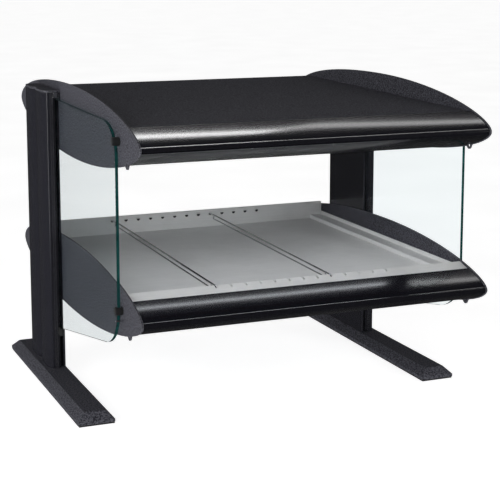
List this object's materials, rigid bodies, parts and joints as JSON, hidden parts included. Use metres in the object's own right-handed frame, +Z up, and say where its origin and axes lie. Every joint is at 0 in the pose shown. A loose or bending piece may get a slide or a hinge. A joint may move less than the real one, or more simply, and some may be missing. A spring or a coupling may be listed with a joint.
{
  "type": "hot food display case",
  "caption": "Counter-top heated display case: T-foot uprights hold a heated canopy over a heated wire-divided tray, with glass sides and open front and back.",
  "frame": {"origin": "centre of the bounding box in X and Y, on the surface the foot pads stand on", "axes": "+Z up; +Y from the customer side (front nose) to the operator side (rear); +X to the right seen from the front"},
  "size_m": [0.7056, 0.7577, 0.5455],
  "materials": {
    "powder": "charcoal speckled powder coat",
    "trim": "satin black anodised extrusion",
    "stainless": "brushed stainless",
    "chrome": "bright plated wire and hardware",
    "aluminium": "bright rolled",
    "glass": "clear tempered, faint green-blue edge",
    "rubber": "matt black",
    "plastic": "fine-textured black",
    "ceramic": "unglazed off-white",
    "element": "heat-oxidised sheath",
    "silicone": "matt orange-brown",
    "insulation": "pressed fibre slab",
    "lens": "frosted",
    "amber": "translucent amber"
  },
  "bodies": {
    "case": {"canopy_front_trim": "trim", "canopy_heater": "element", "canopy_heater_guard": "chrome", "canopy_light_bar": "aluminium", "canopy_light_lens": "lens", "canopy_rear_cover": "powder", "canopy_reflector": "aluminium", "canopy_top": "powder", "canopy_underside": "powder", "cord_gland": "plastic", "left_canopy_end": "powder", "left_canopy_front_bolt": "chrome", "left_canopy_rear_bolt": "chrome", "left_foot": "powder", "left_foot_pad": "rubber", "left_glass": "glass", "left_glass_pin": "chrome", "left_heater_holder": "ceramic", "left_lower_glass_bumper": "rubber", "left_lower_glass_stop": "chrome", "left_shelf_end": "powder", "left_shelf_front_bolt": "chrome", "left_shelf_rear_bolt": "chrome", "left_upper_glass_bumper": "rubber", "left_upper_glass_stop": "chrome", "left_upright": "trim", "left_upright_cap": "powder", "light_switch_body": "plastic", "pilot_lamp": "amber", "power_switch_body": "plastic", "right_canopy_end": "powder", "right_canopy_front_bolt": "chrome", "right_canopy_rear_bolt": "chrome", "right_foot": "powder", "right_foot_pad": "rubber", "right_glass": "glass", "right_glass_pin": "chrome", "right_heater_holder": "ceramic", "right_lower_glass_bumper": "rubber", "right_lower_glass_stop": "chrome", "right_shelf_end": "powder", "right_shelf_front_bolt": "chrome", "right_shelf_rear_bolt": "chrome", "right_upper_glass_bumper": "rubber", "right_upper_glass_stop": "chrome", "right_upright": "trim", "right_upright_cap": "powder", "shelf_blanket_heater": "silicone", "shelf_front_trim": "trim", "shelf_insulation": "insulation", "shelf_pan": "powder", "shelf_rear_cover": "powder", "shelf_tray": "stainless", "thermostat": "aluminium"},
    "left_divider": {"left_divider": "chrome"},
    "right_divider": {"right_divider": "chrome"},
    "light_rocker": {"light_switch_rocker": "plastic"},
    "power_rocker": {"power_switch_rocker": "plastic"},
    "heat_knob": {"thermostat_knob": "plastic", "thermostat_shaft": "chrome"}
  },
  "joints": [
    {"name": "left_divider_lift", "type": "hinge", "parent": "case", "child": "left_divider", "pos_m": [-0.1524, 0.2612, 0.2496], "axis": [-1, 0, 0], "range_deg": [0, 14]},
    {"name": "right_divider_lift", "type": "hinge", "parent": "case", "child": "right_divider", "pos_m": [0.0508, 0.2612, 0.2496], "axis": [-1, 0, 0], "range_deg": [0, 14]},
    {"name": "light_rocker_tilt", "type": "hinge", "parent": "case", "child": "light_rocker", "pos_m": [0.19, 0.3378, 0.4898], "axis": [-1, 0, 0], "range_deg": [0, 16]},
    {"name": "power_rocker_tilt", "type": "hinge", "parent": "case", "child": "power_rocker", "pos_m": [0.19, 0.33787, 0.2098], "axis": [-1, 0, 0], "range_deg": [0, 16]},
    {"name": "heat_knob_turn", "type": "hinge", "parent": "case", "child": "heat_knob", "pos_m": [0.105, 0.33727, 0.2098], "axis": [0, 1, 0], "range_deg": [0, 270]}
  ]
}
